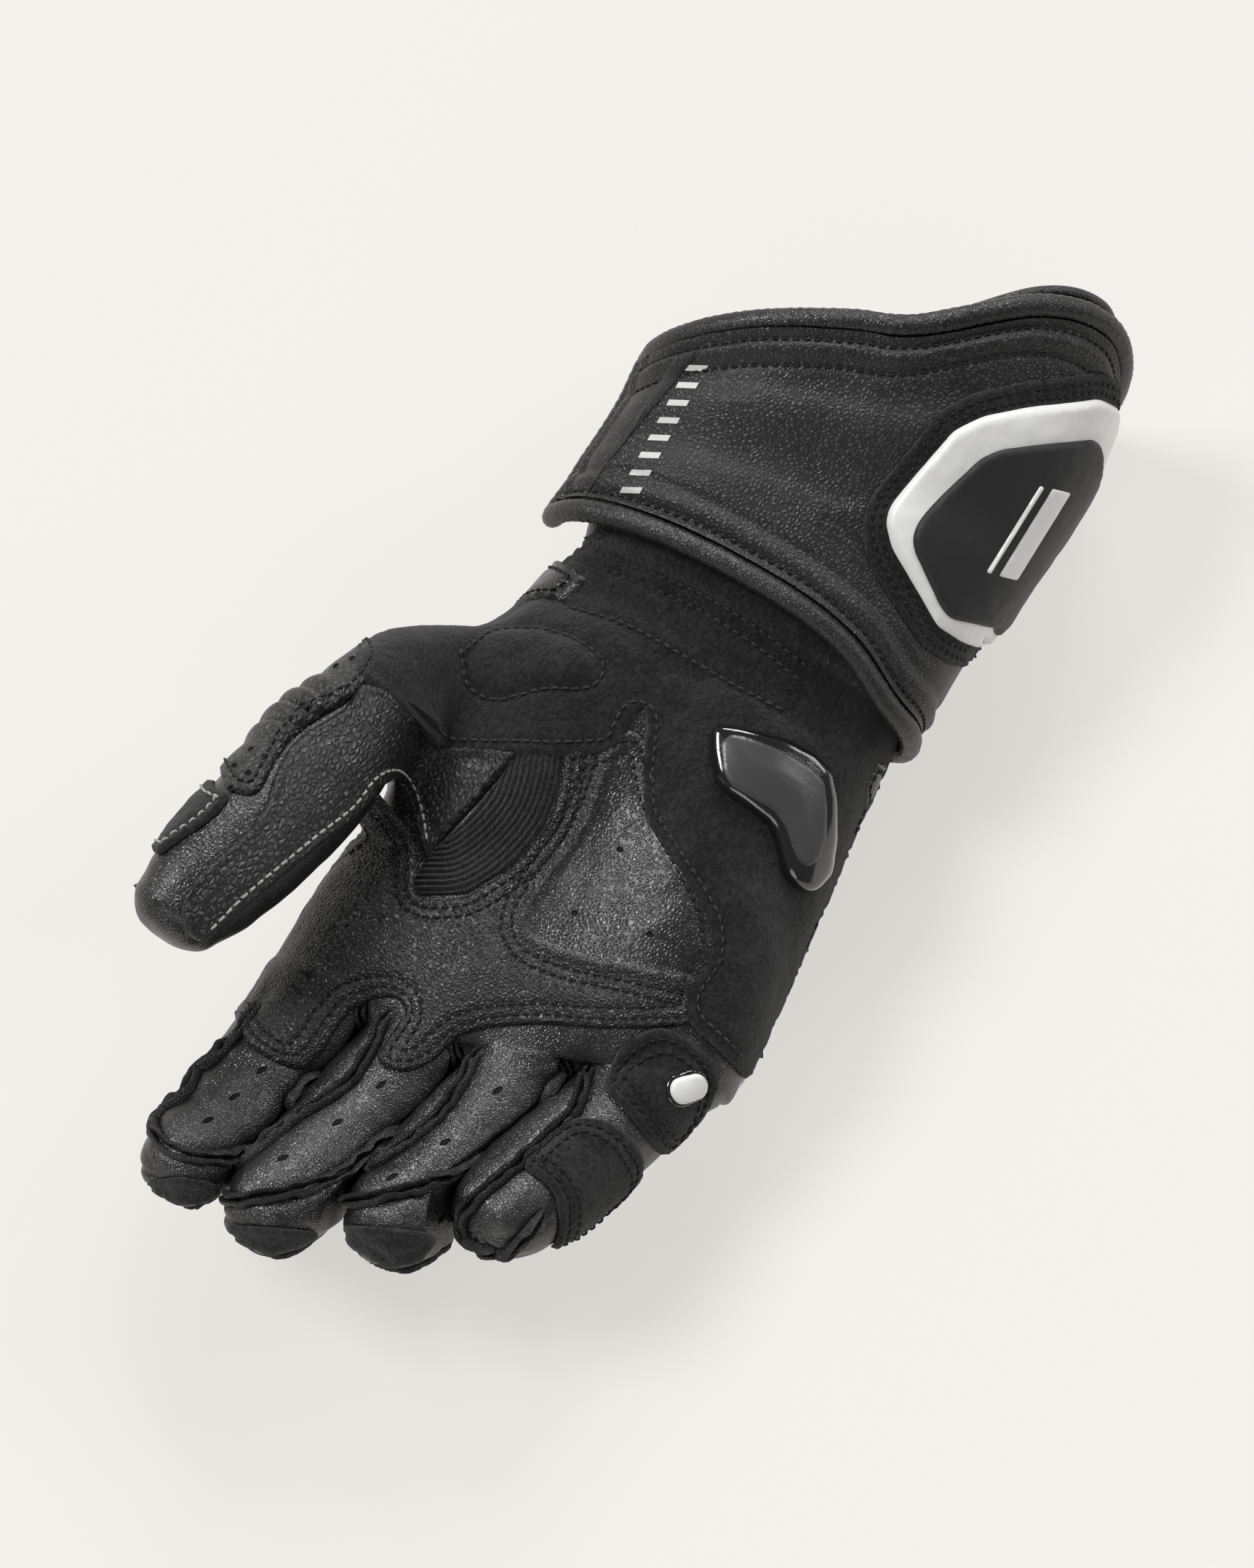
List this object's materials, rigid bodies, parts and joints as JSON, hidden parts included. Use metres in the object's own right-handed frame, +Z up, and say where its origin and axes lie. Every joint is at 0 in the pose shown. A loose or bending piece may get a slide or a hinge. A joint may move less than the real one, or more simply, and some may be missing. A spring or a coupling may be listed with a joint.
{
  "type": "motorcycle glove",
  "caption": "Long-cuff motorcycle glove for the right hand, lying palm up, with leather and suede palm panels, a palm slider, a knuckle guard and a wrap-over cuff flap.",
  "frame": {"origin": "middle of the knuckle guard's crown, where it rests on the floor", "axes": "+Y from the knuckles to the cuff, +Z up out of the palm, +X towards the little finger"},
  "size_m": [0.1408, 0.2916, 0.0837],
  "materials": {
    "leather": "semi-matte grained black",
    "suede": "matte black suede",
    "knit": "matte ribbed black",
    "slider": "gloss black with a matte grey face",
    "guard": "gloss black",
    "white": "satin white"
  },
  "bodies": {
    "root": {"palm_shell": "leather", "finger_index": "leather", "finger_middle": "leather", "finger_ring": "leather", "finger_little": "leather", "thumb": "leather", "palm_suede": "suede", "palm_overlay": "leather", "stretch_gusset": "knit", "palm_slider": "slider", "little_patch_base": "suede", "little_patch_tip": "suede", "little_rivet": "white", "thumb_panel": "leather", "thumb_back_panel": "leather", "thumb_tip_patch": "suede", "knuckle_guard": "guard", "index_tip_patch": "suede", "middle_tip_patch": "suede", "ring_tip_patch": "suede", "wrist_strap": "leather", "cuff_sleeve": "leather", "cuff_flap": "leather", "flap_piping": "leather", "cuff_plate_white": "white", "cuff_plate_black": "leather", "flap_grip_strip": "knit"}
  },
  "joints": []
}
